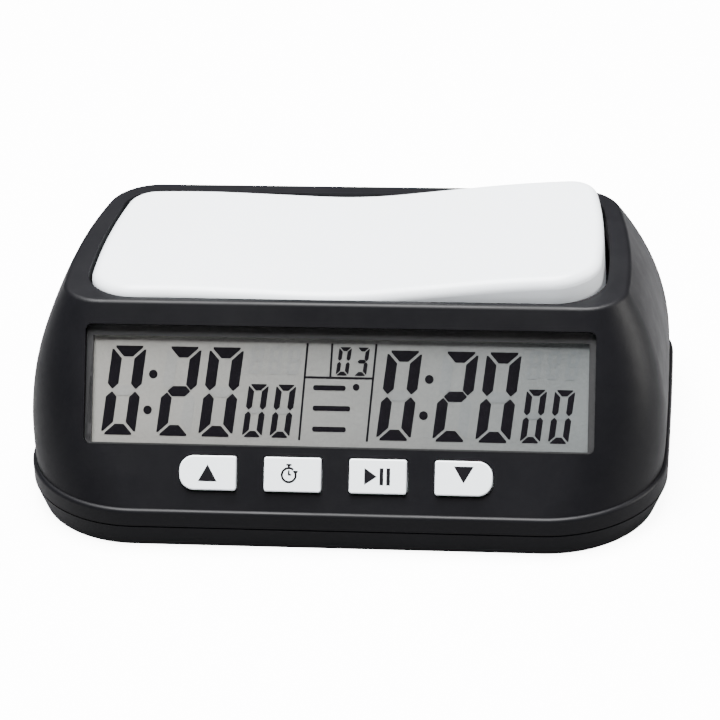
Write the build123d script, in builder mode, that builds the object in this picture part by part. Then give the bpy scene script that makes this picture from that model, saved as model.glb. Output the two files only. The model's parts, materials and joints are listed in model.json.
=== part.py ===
from build123d import *
from math import cos, radians, sin
import os

# Digital chess clock: a wedge-shaped casing, a rocking button, four keys, a display and the works.
# Millimetres, +Z up, +X to the player's right, the display facing -Y.
# The origin is on the table at the middle of the clock's width and depth.

os.makedirs("parts", exist_ok=True)

# Casing, outside
clock_depth = 97.0
skirt_half = 74.6
skirt_front_radius = 28.0
skirt_rear_radius = 18.0
foot_rise = 0.6
seam_z = 5.5
seam_gap = 0.35
lip_z = 10.0
lip_step = 1.0
lip_edge_radius = 0.9
rim_z = 50.5
rim_front_y = -22.3
rim_rear_y = 37.1
rim_front_half = 64.7
rim_rear_half = 59.3
rim_front_radius = 9.5
rim_rear_radius = 12.0
rim_side_bulge = 3.0
base_side_bulge = 0.5
side_swell = 3.6
rear_swell = 1.5
rim_edge_radius = 1.2
base_tuck = 2.6
base_front_tuck = 0.3
base_edge_radius = 0.4

# Casing, inside
wall = 2.4
roof = 2.4
floor_thickness = 2.0
tongue_height = 2.5
tongue_thickness = 1.5
tongue_gap = 0.15

# Rocker and the well that it sits in
rocker_front_y = -19.5
rocker_rear_y = 31.7
rocker_front_half = 58.9
rocker_rear_half = 56.1
rocker_side_bulge = 2.0
rocker_front_radius = 11.5
rocker_rear_radius = 7.0
rocker_gap = 1.0
rocker_tilt = 2.4
rocker_valley_height = 0.7
rocker_wing_slope = 4.6
rocker_end_height = 3.5
valley_radius = 120.0
wing_straight = 20.0
rocker_edge_radius = 2.6
rocker_shell = 2.0
pivot_z = rim_z - 6.0
rocker_skirt_drop = 3.0
trunnion_radius = 2.0
trunnion_reach = 1.4
running_gap = 0.05
well_wall = 1.6
well_floor_z = 37.0
well_floor_thickness = 1.8
arm_drop = 17.3
fork_drop = 16.0
arm_width = 6.0
arm_thickness = 2.4
arm_slot_gap = 0.8
bumper_width = 4.0
bumper_length = 30.0
bumper_middle_x = 56.3

# Display, placed on the sloping front panel: s runs up the slope, d runs in through the panel
view_half = 57.2
view_low_s = 15.1
view_high_s = 39.75
recess_side = 1.6
recess_top = 2.6
recess_bottom = 0.5
recess_depth = 1.9
recess_corner = 1.5
window_thickness = 0.9
tape_thickness = 0.1
glass_half = 58.2
glass_thickness = 0.55
front_glass_low_s = 13.1
rear_glass_low_s = 14.8
glass_high_s = 41.0
reflector_thickness = 0.2
holder_wall = 0.9
holder_gap = 0.2
holder_leg_s = 32.0
holder_lip = 1.5
holder_bar_d = 4.0
strip_half = 52.0
strip_gap = 0.1
strip_width = 1.5

# Keys
key_pitch = 19.6
key_width = 13.1
key_low_s = 4.6
key_high_s = 12.5
key_proud = 0.9
key_gap = 0.3
key_corner = 0.6
key_round_end = 3.4
key_edge_radius = 0.35
key_flange_side = 0.8
key_flange_thickness = 0.8
key_travel = 0.5
key_names = ("up", "clock", "play", "down")

# Main board, parallel to the front panel
board_d = 8.0
board_thickness = 1.6
board_half = 62.0
board_low_s = 4.0
board_high_s = 34.0
board_screw_x = (-50.0, -19.6, 19.6, 50.0)
board_gap = 0.1
switch_size = 6.0
switch_height = 3.4
plunger_radius = 1.7
plunger_rise = 0.7
plunger_depth = 0.8

chip_x = 8.0
chip_s = 26.0
chip_radius = 6.0
chip_height = 1.6
chip_edge_radius = 1.3
crystal_x = 26.0
crystal_s = 26.0
crystal_radius = 1.0
crystal_length = 6.0
capacitor_places = ((-8.0, 18.0), (-8.0, 28.0), (20.0, 18.0), (34.0, 24.0))
capacitor_length = 3.2
capacitor_width = 1.6
capacitor_height = 1.0

# Switch under the rocker, on a small board of its own
rocker_board_z = 21.4
rocker_board_length = 30.0
rocker_board_width = 16.0
rocker_post_x = 11.0
slider_body_length = 12.0
slider_body_width = 5.6
slider_body_height = 3.5
slider_foot_length = 7.0
slider_foot_width = 3.0
slider_foot_height = 1.6
slider_neck_length = 5.4
slider_neck_width = 2.2
slider_travel = 1.6
prong_height = 3.2
prong_width = 4.0
fork_gap = 0.12

# Sounder, glued to a ring under the well
buzzer_x = -38.0
buzzer_y = 6.0
buzzer_radius = 13.5
ceramic_radius = 10.0
buzzer_ring_height = 1.0
buzzer_ring_width = 1.8
buzzer_plate_thickness = 0.3
ceramic_thickness = 0.25

# Power: one AA cell lying along X, behind the middle of the base
cell_radius = 7.1
cell_length = 49.2
cell_nub_radius = 2.7
cell_nub_length = 1.3
cell_edge_radius = 0.6
cell_y = 22.0
cell_gap = 0.4
bay_half_length = 30.0
bay_wall = 1.5
bay_sill = 3.0
bay_sill_height = 4.0
door_thickness = 2.0
door_half_length = 30.5
door_half_width = 8.5
door_gap = 0.3
door_ledge = 0.15
door_pin_radius = 0.7
door_pin_length = 1.4
door_notch_radius = 6.0
contact_thickness = 0.4
contact_width = 10.0
contact_tab_width = 3.0
contact_tab_height = 3.0
spring_wire_radius = 0.4
spring_base_radius = 4.5
spring_cone_angle = -16
spring_pitch = 2.2

# Power switch in the base
power_x = 44.0
power_y = -2.0
power_travel = 2.0
power_gap = 0.2
power_knob_length = 3.0
power_knob_width = 2.6
power_foot_length = 5.0
power_foot_width = 3.6
power_foot_height = 1.4
power_body_length = 12.0
power_body_width = 6.0
power_body_height = 4.5
power_well_length = 12.0
power_well_width = 6.0
power_well_depth = 0.9
power_knob_recess = 0.15

# Fasteners, feet and leads
foot_radius = 5.0
foot_recess = 0.8
foot_gap = 0.05
foot_edge_radius = 0.4
foot_x = 56.0
foot_y = 34.0
casing_screw_x = 58.0
casing_screw_front_y = -13.0
casing_screw_rear_y = 24.0
casing_post_z = 14.0
casing_post_top_z = 36.0
casing_screw_bite = 6.0
screw_seat_z = 6.0
screw_length = 12.0
screw_radius = 1.3
screw_slack = 0.2
screw_head_radius = 2.6
screw_head_height = 1.9
cross_width = 0.6
cross_depth = 0.7
screw_edge_radius = 0.6
boss_radius = 3.4
small_screw_radius = 0.85
small_screw_slack = 0.05
small_head_radius = 1.8
small_head_height = 1.2
small_screw_bite = 5.0
small_boss_radius = 1.9
lead_radius = 0.6
lead_bend = 2.5
lead_rise = 5.0
cell_black_pad = (-24.0, 16.0)
cell_black_turn_y = 4.0
cell_lead_overlap = 2.0
cell_red_turn = (4.0, -6.0)
power_tag_x = 3.0
power_pad = (40.0, 12.0)
power_lead_rise = 7.0
rocker_pads_x = (-2.5, 0.0, 2.5)
rocker_pad_s = 22.0
rocker_lead_rise = 6.0
rocker_pad_inset = 1.5
buzzer_pad_s = 26.0
buzzer_pad_x = 2.0
buzzer_solder_out = 1.5
buzzer_lead_drop = 6.0

# How nearly two directions must agree for a face to count as facing that way
facing = 0.9

half_depth = clock_depth / 2
panel_foot_y = -half_depth + lip_step
casing_bottom_z = foot_rise
floor_z = casing_bottom_z + floor_thickness
panel_run = rim_front_y - panel_foot_y
panel_rise = rim_z - lip_z
panel_length = (panel_run ** 2 + panel_rise ** 2) ** 0.5
panel = Plane(
    origin=(0, panel_foot_y, lip_z),
    x_dir=(1, 0, 0),
    z_dir=(0, -panel_rise / panel_length, panel_run / panel_length),
)
wall_inset = wall * panel_length / panel_rise
rocker_middle_y = (rocker_front_y + rocker_rear_y) / 2
rocker_plan = Plane(origin=(0, rocker_middle_y, pivot_z)).rotated((0, -rocker_tilt, 0))
rocker_side = Plane(origin=rocker_plan.origin, x_dir=rocker_plan.x_dir, z_dir=-rocker_plan.y_dir)
rocker_top = rim_z - pivot_z
rocker_half_width = (rocker_rear_y - rocker_front_y) / 2
tongue_inset = lip_step + wall_inset + tongue_gap
holder_half = glass_half + holder_gap + holder_wall
holder_high_s = glass_high_s + holder_gap + holder_wall
holder_ring_d = wall + 2 * glass_thickness + reflector_thickness
bay_half_width = cell_radius + cell_gap
bay_top_z = casing_bottom_z + door_thickness + 2 * bay_half_width
cell_z = bay_top_z - bay_half_width
door_hinge_y = cell_y - door_half_width + door_thickness / 2
door_hinge_z = casing_bottom_z + door_thickness / 2
rocker_board_top_z = rocker_board_z + board_thickness
slider_top_z = rocker_board_top_z + slider_body_height
slider_x = fork_drop * sin(radians(rocker_tilt))
well_bottom_z = well_floor_z - well_floor_thickness
buzzer_z = well_bottom_z - buzzer_ring_height


def between(low, high, t):
    return low + (high - low) * t


def rounded_outline(front_y, rear_y, front_half, rear_half, bulge, front_radius, rear_radius):
    """A four-sided outline with bowed sides and round corners."""
    side_x = (front_half + rear_half) / 2 + bulge
    side_y = (front_y + rear_y) / 2
    with BuildSketch() as outline:
        with BuildLine():
            Line((-front_half, front_y), (front_half, front_y))
            ThreePointArc((front_half, front_y), (side_x, side_y), (rear_half, rear_y))
            Line((rear_half, rear_y), (-rear_half, rear_y))
            ThreePointArc((-rear_half, rear_y), (-side_x, side_y), (-front_half, front_y))
        make_face()
        fillet(outline.vertices().group_by(Axis.Y)[-1], rear_radius)
        fillet(outline.vertices().group_by(Axis.Y)[0], front_radius)
    return outline.sketch


def skirt_outline(inset, front_inset=None):
    """The casing's plan at its foot, drawn in from the outside by inset."""
    edge_y = half_depth - (inset if front_inset is None else front_inset)
    half = skirt_half - inset
    return rounded_outline(
        -edge_y, edge_y, half, half, base_side_bulge, skirt_front_radius - inset, skirt_rear_radius - inset
    )


def shell_outline(t, inset):
    """The casing's plan at the height t, from 0 at the lip to 1 at the rim."""
    swell = 4 * t * (1 - t)
    half = skirt_half - lip_step
    return rounded_outline(
        between(panel_foot_y, rim_front_y, t) + inset,
        between(half_depth - lip_step, rim_rear_y, t) + rear_swell * swell - inset,
        between(half, rim_front_half, t) + side_swell * swell - inset,
        between(half, rim_rear_half, t) + side_swell * swell - inset,
        between(base_side_bulge, rim_side_bulge, t),
        between(skirt_front_radius - lip_step, rim_front_radius, t) - inset,
        between(skirt_rear_radius - lip_step, rim_rear_radius, t) - inset,
    )


def rocker_outline(margin):
    """The rocker's plan, grown by margin."""
    return rounded_outline(
        rocker_front_y - rocker_middle_y - margin,
        rocker_rear_y - rocker_middle_y + margin,
        rocker_front_half + margin,
        rocker_rear_half + margin,
        rocker_side_bulge,
        rocker_front_radius + margin,
        rocker_rear_radius + margin,
    )


def key_outline(index, margin):
    """One key's face, drawn about its own middle: the outer ends of the row are rounder."""
    width = key_width + 2 * margin
    height = key_high_s - key_low_s + 2 * margin
    with BuildSketch() as outline:
        Rectangle(width, height)
        left_radius = key_round_end if index == 0 else key_corner
        fillet(outline.vertices().group_by(Axis.X)[0], left_radius + margin)
        right_radius = key_round_end if index == len(key_names) - 1 else key_corner
        fillet(outline.vertices().group_by(Axis.X)[-1], right_radius + margin)
    return outline.sketch


def panel_box(x, width, low_s, high_s, near_d, far_d, mode=Mode.ADD):
    """A box squared up to the front panel, added to the part being built."""
    with Locations(panel.offset(-far_d).location * Location((x, (low_s + high_s) / 2, 0))):
        Box(width, high_s - low_s, far_d - near_d, align=(Align.CENTER, Align.CENTER, Align.MIN), mode=mode)


def upright_box(x, y, low_z, high_z, length, width, mode=Mode.ADD):
    """A box standing square in the clock, added to the part being built."""
    with Locations((x, y, low_z)):
        Box(length, width, high_z - low_z, align=(Align.CENTER, Align.CENTER, Align.MIN), mode=mode)


def rocker_block(margin, lowered):
    """The rocker's outer form, grown by margin and with its top lowered."""
    slope = radians(rocker_wing_slope)
    valley_z = rocker_top + rocker_valley_height - lowered
    with BuildPart() as block:
        with BuildSketch(rocker_plan.offset(-rocker_skirt_drop)):
            add(rocker_outline(margin))
        extrude(amount=rocker_skirt_drop + 2 * rocker_top)
        with BuildSketch(rocker_side):
            with BuildLine():
                valley = ThreePointArc(
                    (0, valley_z),
                    (valley_radius * sin(slope / 2), valley_z + valley_radius * (1 - cos(slope / 2))),
                    (valley_radius * sin(slope), valley_z + valley_radius * (1 - cos(slope))),
                )
                wing = PolarLine(valley @ 1, wing_straight, rocker_wing_slope)
                end_x = rocker_front_half + rocker_side_bulge
                tip = TangentArc(
                    wing @ 1, (end_x, rocker_top + rocker_end_height - lowered), tangent=wing % 1
                )
                Polyline(tip @ 1, (end_x, -rocker_skirt_drop), (0, -rocker_skirt_drop))
                mirror(about=Plane.YZ)
            make_face()
        extrude(amount=2 * rocker_half_width, both=True, mode=Mode.INTERSECT)
    return block.part


def lead(points):
    """One insulated wire along straight runs joined by tangent arcs."""
    with BuildPart() as wire:
        with BuildLine():
            route = FilletPolyline(*points, radius=[lead_bend] * (len(points) - 2))
        with BuildSketch(Plane(origin=route @ 0, z_dir=route % 0)):
            Circle(lead_radius)
        sweep()
    return wire.part


def board_back(x, s, away=0.0):
    """A point behind the main board, square to it."""
    return panel.from_local_coords(Vector(x, s, -board_d - board_thickness - away))


def write(part, name):
    part.label = name
    export_step(part, f"parts/{name}.step")


key_s = (key_low_s + key_high_s) / 2
key_x = [(index - (len(key_names) - 1) / 2) * key_pitch for index in range(len(key_names))]
board_screw_points = [(x, key_s) for x in board_screw_x]
rocker_post_points = [(-rocker_post_x, rocker_middle_y), (rocker_post_x, rocker_middle_y)]
casing_screw_points = [
    (side * casing_screw_x, y) for side in (-1, 1) for y in (casing_screw_front_y, casing_screw_rear_y)
]
foot_points = [(side * foot_x, y) for y in (-foot_y, foot_y) for side in (-1, 1)]
roof_t = (rim_z - roof - lip_z) / panel_rise

# Sloping shell, its skirt and the well for the rocker
with BuildPart() as upper_casing:
    with BuildSketch(Plane.XY.offset(seam_z + seam_gap)):
        add(skirt_outline(0))
    extrude(amount=lip_z - seam_z - seam_gap)
    fillet(upper_casing.edges().group_by(Axis.Z)[-1], lip_edge_radius)
    for t in (0, 0.5, 1):
        with BuildSketch(Plane.XY.offset(between(lip_z, rim_z, t))):
            add(shell_outline(t, 0))
    loft()
    fillet(upper_casing.edges().group_by(Axis.Z)[-1], rim_edge_radius)
    with BuildSketch(Plane.XY.offset(seam_z)):
        add(skirt_outline(lip_step + wall_inset))
    extrude(amount=lip_z - seam_z, mode=Mode.SUBTRACT)
    for t in (0, roof_t / 2, roof_t):
        with BuildSketch(Plane.XY.offset(between(lip_z, rim_z, t))):
            add(shell_outline(t, wall_inset))
    loft(mode=Mode.SUBTRACT)
    with BuildSketch(Plane.XY.offset(well_floor_z - well_floor_thickness)):
        with Locations((0, rocker_middle_y)):
            add(rocker_outline(rocker_gap + well_wall))
    extrude(amount=rim_z - roof / 2 - well_floor_z + well_floor_thickness)
    with BuildSketch(Plane.XY.offset(well_floor_z)):
        with Locations((0, rocker_middle_y)):
            add(rocker_outline(rocker_gap))
    extrude(amount=rim_z - well_floor_z, mode=Mode.SUBTRACT)
    # pivot holes for the rocker, through the well's front and rear walls
    with BuildSketch(Plane.XZ.offset(-rocker_rear_y - rocker_gap - well_wall)):
        with Locations((0, pivot_z)):
            Circle(trunnion_radius + running_gap)
    extrude(amount=2 * (rocker_half_width + rocker_gap + well_wall), mode=Mode.SUBTRACT)
    # slot in the well's floor for the rocker's arm
    upright_box(
        0, rocker_middle_y, well_bottom_z, well_floor_z,
        arm_thickness + 2 * arm_slot_gap, arm_width + 2 * arm_slot_gap, Mode.SUBTRACT,
    )
    # display: a recess for the window, the opening behind it and room for the glass and its holder
    with BuildSketch(panel):
        with Locations((0, (view_low_s - recess_bottom + view_high_s + recess_top) / 2)):
            RectangleRounded(
                2 * (view_half + recess_side),
                view_high_s + recess_top - view_low_s + recess_bottom,
                recess_corner,
            )
    extrude(amount=-recess_depth, mode=Mode.SUBTRACT)
    panel_box(0, 2 * view_half, view_low_s, view_high_s, 0, wall, Mode.SUBTRACT)
    panel_box(
        0, 2 * (holder_half + running_gap), front_glass_low_s - holder_gap, holder_high_s + running_gap,
        wall, holder_ring_d + holder_gap, Mode.SUBTRACT,
    )
    # the four key openings
    for index, x in enumerate(key_x):
        with BuildSketch(panel):
            with Locations((x, key_s)):
                add(key_outline(index, key_gap))
        extrude(amount=-wall - key_gap, mode=Mode.SUBTRACT)
    # posts for the main board, under the well for the rocker's switch and for the casing screws
    with BuildSketch(panel.offset(-board_d)):
        with Locations(board_screw_points):
            Circle(small_boss_radius)
    extrude(amount=board_d - wall / 2)
    with BuildSketch(Plane.XY.offset(rocker_board_top_z)):
        with Locations(rocker_post_points):
            Circle(small_boss_radius)
    extrude(amount=well_floor_z - well_floor_thickness / 2 - rocker_board_top_z)
    with BuildSketch(Plane.XY.offset(casing_post_z)):
        with Locations(casing_screw_points):
            Circle(boss_radius)
    extrude(amount=casing_post_top_z - casing_post_z)
    # ring that the sounder is glued to
    with BuildSketch(Plane.XY.offset(buzzer_z)):
        with Locations((buzzer_x, buzzer_y)):
            Circle(buzzer_radius)
            Circle(buzzer_radius - buzzer_ring_width, mode=Mode.SUBTRACT)
    extrude(amount=buzzer_ring_height + well_floor_thickness / 2)
    # pilot holes
    with BuildSketch(Plane.XY.offset(casing_post_z)):
        with Locations(casing_screw_points):
            Circle(screw_radius + small_screw_slack)
    extrude(amount=casing_screw_bite, mode=Mode.SUBTRACT)
    with BuildSketch(panel.offset(-board_d)):
        with Locations(board_screw_points):
            Circle(small_screw_radius + small_screw_slack)
    extrude(amount=small_screw_bite, mode=Mode.SUBTRACT)
    with BuildSketch(Plane.XY.offset(rocker_board_top_z)):
        with Locations(rocker_post_points):
            Circle(small_screw_radius + small_screw_slack)
    extrude(amount=small_screw_bite, mode=Mode.SUBTRACT)
write(upper_casing.part, "upper_casing")

# Base tray with its tongue, battery bay, screw posts, seats for the feet and the power switch
with BuildPart() as lower_casing:
    with BuildSketch(Plane.XY.offset(casing_bottom_z)):
        add(skirt_outline(base_tuck, base_front_tuck))
    with BuildSketch(Plane.XY.offset(seam_z)):
        add(skirt_outline(0))
    loft()
    fillet(lower_casing.edges().group_by(Axis.Z)[0], base_edge_radius)
    with BuildSketch(Plane.XY.offset(seam_z)):
        add(skirt_outline(tongue_inset))
    extrude(amount=tongue_height)
    with BuildSketch(Plane.XY.offset(floor_z)):
        add(skirt_outline(tongue_inset + tongue_thickness))
    extrude(amount=seam_z + tongue_height - floor_z, mode=Mode.SUBTRACT)
    # battery bay: a box open to the underside, with a sill round the door
    upright_box(
        0, cell_y, casing_bottom_z, casing_bottom_z + bay_sill_height,
        2 * (bay_half_length + bay_sill), 2 * (bay_half_width + bay_sill),
    )
    upright_box(
        0, cell_y, casing_bottom_z, bay_top_z + bay_wall,
        2 * (bay_half_length + bay_wall), 2 * (bay_half_width + bay_wall),
    )
    upright_box(
        0, cell_y, casing_bottom_z, bay_top_z, 2 * bay_half_length, 2 * bay_half_width, Mode.SUBTRACT
    )
    upright_box(
        0, cell_y, casing_bottom_z, casing_bottom_z + door_thickness + door_ledge,
        2 * (door_half_length + door_gap), 2 * (door_half_width + door_gap), Mode.SUBTRACT,
    )
    with BuildSketch(Plane.YZ.offset(-door_half_length - door_pin_length - running_gap)):
        with Locations((door_hinge_y, door_hinge_z)):
            Circle(door_pin_radius + running_gap)
    extrude(amount=2 * (door_half_length + door_pin_length + running_gap), mode=Mode.SUBTRACT)
    # slots in the bay's roof for the contacts' tabs
    for side in (-1, 1):
        upright_box(
            side * (bay_half_length - contact_thickness), cell_y, bay_top_z, bay_top_z + bay_wall,
            2 * contact_thickness, contact_tab_width + cell_gap, Mode.SUBTRACT,
        )
    # seats for the feet
    with BuildSketch(Plane.XY.offset(casing_bottom_z)):
        with Locations(foot_points):
            Circle(foot_radius + foot_gap)
    extrude(amount=foot_recess, mode=Mode.SUBTRACT)
    # posts for the casing screws, counterbored from below
    with BuildSketch(Plane.XY.offset(floor_z - floor_thickness / 2)):
        with Locations(casing_screw_points):
            Circle(boss_radius)
    extrude(amount=casing_post_z - floor_z + floor_thickness / 2)
    with BuildSketch(Plane.XY.offset(casing_bottom_z)):
        with Locations(casing_screw_points):
            Circle(screw_radius + screw_slack)
    extrude(amount=casing_post_z - casing_bottom_z, mode=Mode.SUBTRACT)
    with BuildSketch(Plane.XY.offset(casing_bottom_z)):
        with Locations(casing_screw_points):
            Circle(screw_head_radius + screw_slack)
    extrude(amount=screw_seat_z - casing_bottom_z, mode=Mode.SUBTRACT)
    # the power switch: a finger well with a slot for the knob
    with BuildSketch(Plane.XY.offset(casing_bottom_z)):
        with Locations((power_x, power_y)):
            SlotOverall(power_well_length, power_well_width)
    extrude(amount=power_well_depth, mode=Mode.SUBTRACT)
    upright_box(
        power_x, power_y, casing_bottom_z, floor_z,
        power_knob_length + power_travel + 2 * power_gap, power_knob_width + 2 * power_gap, Mode.SUBTRACT,
    )
write(lower_casing.part, "lower_casing")

# Rocker: a hollow white cap with a shallow valley in its top, two pivots and an arm
with BuildPart() as rocker:
    add(rocker_block(0, 0))
    top_faces = rocker.faces().filter_by(lambda face: face.normal_at().dot(rocker_plan.z_dir) > facing)
    fillet(top_faces.edges().filter_by(Axis.Y, reverse=True), rocker_edge_radius)
    add(rocker_block(-rocker_shell, rocker_shell), mode=Mode.SUBTRACT)
    with BuildSketch(rocker_side):
        Circle(trunnion_radius)
    extrude(amount=rocker_half_width + rocker_gap + trunnion_reach, both=True)
    # arm, down from a rib that joins the front and rear walls
    with Locations(rocker_plan.location):
        Box(
            arm_thickness, 2 * rocker_half_width - rocker_shell, rocker_top - rocker_shell,
            align=(Align.CENTER, Align.CENTER, Align.MIN),
        )
        Box(arm_thickness, arm_width, arm_drop, align=(Align.CENTER, Align.CENTER, Align.MAX))
write(rocker.part, "rocker")

# Soft stops on the well's floor, under the rocker's two ends
for name, side in (("rocker_stop_left", -1), ("rocker_stop_right", 1)):
    with BuildPart() as stop:
        stop_top = pivot_z - rocker_skirt_drop - rocker_front_half * sin(radians(rocker_tilt)) - running_gap
        upright_box(
            side * bumper_middle_x, rocker_middle_y, well_floor_z, stop_top, bumper_width, bumper_length
        )
    write(stop.part, name)

# Window, its adhesive frame and the display cell
with BuildPart() as display_window:
    with BuildSketch(panel.offset(-recess_depth + tape_thickness)):
        with Locations((0, (view_low_s - recess_bottom + view_high_s + recess_top) / 2)):
            RectangleRounded(
                2 * (view_half + recess_side - strip_gap),
                view_high_s + recess_top - view_low_s + recess_bottom - 2 * strip_gap,
                recess_corner - strip_gap,
            )
    extrude(amount=window_thickness)
write(display_window.part, "display_window")

with BuildPart() as window_tape:
    with BuildSketch(panel.offset(-recess_depth)):
        with Locations((0, (view_low_s - recess_bottom + view_high_s + recess_top) / 2)):
            RectangleRounded(
                2 * (view_half + recess_side - strip_gap),
                view_high_s + recess_top - view_low_s + recess_bottom - 2 * strip_gap,
                recess_corner - strip_gap,
            )
        with Locations((0, (view_low_s + view_high_s) / 2)):
            Rectangle(2 * view_half, view_high_s - view_low_s, mode=Mode.SUBTRACT)
    extrude(amount=tape_thickness)
write(window_tape.part, "window_tape")

with BuildPart() as lcd_front_glass:
    panel_box(0, 2 * glass_half, front_glass_low_s, glass_high_s, wall, wall + glass_thickness)
write(lcd_front_glass.part, "lcd_front_glass")

with BuildPart() as lcd_rear_glass:
    panel_box(
        0, 2 * glass_half, rear_glass_low_s, glass_high_s, wall + glass_thickness, wall + 2 * glass_thickness
    )
write(lcd_rear_glass.part, "lcd_rear_glass")

with BuildPart() as lcd_reflector:
    panel_box(0, 2 * glass_half, rear_glass_low_s, glass_high_s, wall + 2 * glass_thickness, holder_ring_d)
write(lcd_reflector.part, "lcd_reflector")

# Strip of conductive rubber between the glass and the main board
with BuildPart() as contact_strip:
    panel_box(
        0, 2 * strip_half, front_glass_low_s + strip_gap, front_glass_low_s + strip_gap + strip_width,
        wall + glass_thickness, board_d,
    )
write(contact_strip.part, "contact_strip")

# Holder: a frame round the glass with legs that stand on the main board
with BuildPart() as lcd_holder:
    ring_near_d = wall + running_gap
    ring_middle = holder_half - holder_wall / 2
    for side in (-1, 1):
        panel_box(
            side * ring_middle, holder_wall, front_glass_low_s, holder_high_s, ring_near_d, holder_ring_d
        )
        panel_box(
            side * ring_middle, holder_wall, front_glass_low_s, holder_leg_s, ring_near_d, board_d
        )
        panel_box(
            side * (holder_half - holder_wall - holder_lip / 2), holder_lip, rear_glass_low_s, holder_leg_s,
            holder_ring_d + running_gap, holder_ring_d + running_gap + holder_wall,
        )
    panel_box(0, 2 * holder_half, holder_high_s - holder_wall, holder_high_s, ring_near_d, holder_ring_d)
    panel_box(
        0, 2 * holder_half, front_glass_low_s - holder_wall, front_glass_low_s, holder_bar_d, board_d
    )
write(lcd_holder.part, "lcd_holder")

# Main board with the parts that are soldered to it
with BuildPart() as main_board:
    panel_box(0, 2 * board_half, board_low_s, board_high_s, board_d, board_d + board_thickness)
    with BuildSketch(panel.offset(-board_d)):
        with Locations(board_screw_points):
            Circle(small_screw_radius + screw_slack)
    extrude(amount=-board_thickness, mode=Mode.SUBTRACT)
write(main_board.part, "main_board")

with BuildPart() as chip_blob:
    with Locations(panel.offset(-board_d - board_thickness).location * Location((chip_x, chip_s, 0))):
        Cylinder(
            chip_radius, chip_height, rotation=(180, 0, 0), align=(Align.CENTER, Align.CENTER, Align.MIN)
        )
    fillet(chip_blob.edges().filter_by(GeomType.CIRCLE).sort_by(Axis.Y)[-1], chip_edge_radius)
write(chip_blob.part, "chip_blob")

with BuildPart() as crystal:
    with Locations(panel.offset(-board_d - board_thickness - crystal_radius).location
                   * Location((crystal_x, crystal_s, 0), (0, 90, 0))):
        Cylinder(crystal_radius, crystal_length)
write(crystal.part, "crystal")

with BuildPart() as board_capacitors:
    for x, low_s in capacitor_places:
        panel_box(
            x, capacitor_length, low_s, low_s + capacitor_width,
            board_d + board_thickness, board_d + board_thickness + capacitor_height,
        )
write(board_capacitors.part, "board_capacitors")

with BuildPart() as board_screws:
    with BuildSketch(panel.offset(-board_d - board_thickness)):
        with Locations(board_screw_points):
            Circle(small_screw_radius)
    extrude(amount=board_thickness + small_screw_bite - small_screw_slack)
    with BuildSketch(panel.offset(-board_d - board_thickness)):
        with Locations(board_screw_points):
            Circle(small_head_radius)
    extrude(amount=-small_head_height)
    with BuildSketch(panel.offset(-board_d - board_thickness - small_head_height)):
        with Locations(board_screw_points):
            Rectangle(small_head_radius, cross_width)
            Rectangle(cross_width, small_head_radius)
    extrude(amount=cross_depth, mode=Mode.SUBTRACT)
write(board_screws.part, "board_screws")

# Keys, each with its tact switch on the board: the cap and the plunger move together
switch_d = board_d - switch_height
plunger_d = switch_d - plunger_rise
for index, x in enumerate(key_x):
    with BuildPart() as switch_body:
        panel_box(x, switch_size, key_s - switch_size / 2, key_s + switch_size / 2, switch_d, board_d)
        with BuildSketch(panel.offset(-switch_d)):
            with Locations((x, key_s)):
                Circle(plunger_radius + running_gap)
        extrude(amount=-plunger_depth - key_travel - board_gap, mode=Mode.SUBTRACT)
    write(switch_body.part, f"switch_body_{key_names[index]}")

    with BuildPart() as switch_plunger:
        with BuildSketch(panel.offset(-plunger_d)):
            with Locations((x, key_s)):
                Circle(plunger_radius)
        extrude(amount=-plunger_rise - plunger_depth)
    write(switch_plunger.part, f"switch_plunger_{key_names[index]}")

    with BuildPart() as key:
        with BuildSketch(panel.offset(key_proud)):
            with Locations((x, key_s)):
                add(key_outline(index, 0))
        extrude(amount=-key_proud - wall - running_gap - key_flange_thickness)
        fillet(
            key.faces().filter_by(lambda face: face.normal_at().dot(panel.z_dir) > facing)[0].edges(),
            key_edge_radius,
        )
        panel_box(
            x, key_width + 2 * (key_gap + key_flange_side), key_low_s + key_corner, key_high_s - key_corner,
            wall + running_gap, wall + running_gap + key_flange_thickness,
        )
        with BuildSketch(panel.offset(-wall)):
            with Locations((x, key_s)):
                Circle(plunger_radius)
        extrude(amount=wall - plunger_d)
    write(key.part, f"key_{key_names[index]}")

# Board, slide switch and its slider under the well, worked by the rocker's arm
with BuildPart() as rocker_board:
    upright_box(
        0, rocker_middle_y, rocker_board_z, rocker_board_top_z, rocker_board_length, rocker_board_width
    )
    with BuildSketch(Plane.XY.offset(rocker_board_z)):
        with Locations(rocker_post_points):
            Circle(small_screw_radius + screw_slack)
    extrude(amount=board_thickness, mode=Mode.SUBTRACT)
write(rocker_board.part, "rocker_board")

with BuildPart() as rocker_board_screws:
    with BuildSketch(Plane.XY.offset(rocker_board_z)):
        with Locations(rocker_post_points):
            Circle(small_screw_radius)
    extrude(amount=board_thickness + small_screw_bite - small_screw_slack)
    with BuildSketch(Plane.XY.offset(rocker_board_z)):
        with Locations(rocker_post_points):
            Circle(small_head_radius)
    extrude(amount=-small_head_height)
write(rocker_board_screws.part, "rocker_board_screws")

slider_foot_z = rocker_board_top_z + slider_body_height / 4
with BuildPart() as slide_switch_body:
    upright_box(
        0, rocker_middle_y, rocker_board_top_z, slider_top_z, slider_body_length, slider_body_width
    )
    upright_box(
        0, rocker_middle_y, slider_foot_z - running_gap, slider_foot_z + slider_foot_height + running_gap,
        slider_foot_length + slider_travel + 2 * fork_gap, slider_foot_width + 2 * fork_gap, Mode.SUBTRACT,
    )
    upright_box(
        0, rocker_middle_y, slider_foot_z, slider_top_z,
        slider_neck_length + slider_travel + 2 * fork_gap, slider_neck_width + 2 * fork_gap, Mode.SUBTRACT,
    )
write(slide_switch_body.part, "slide_switch_body")

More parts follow.
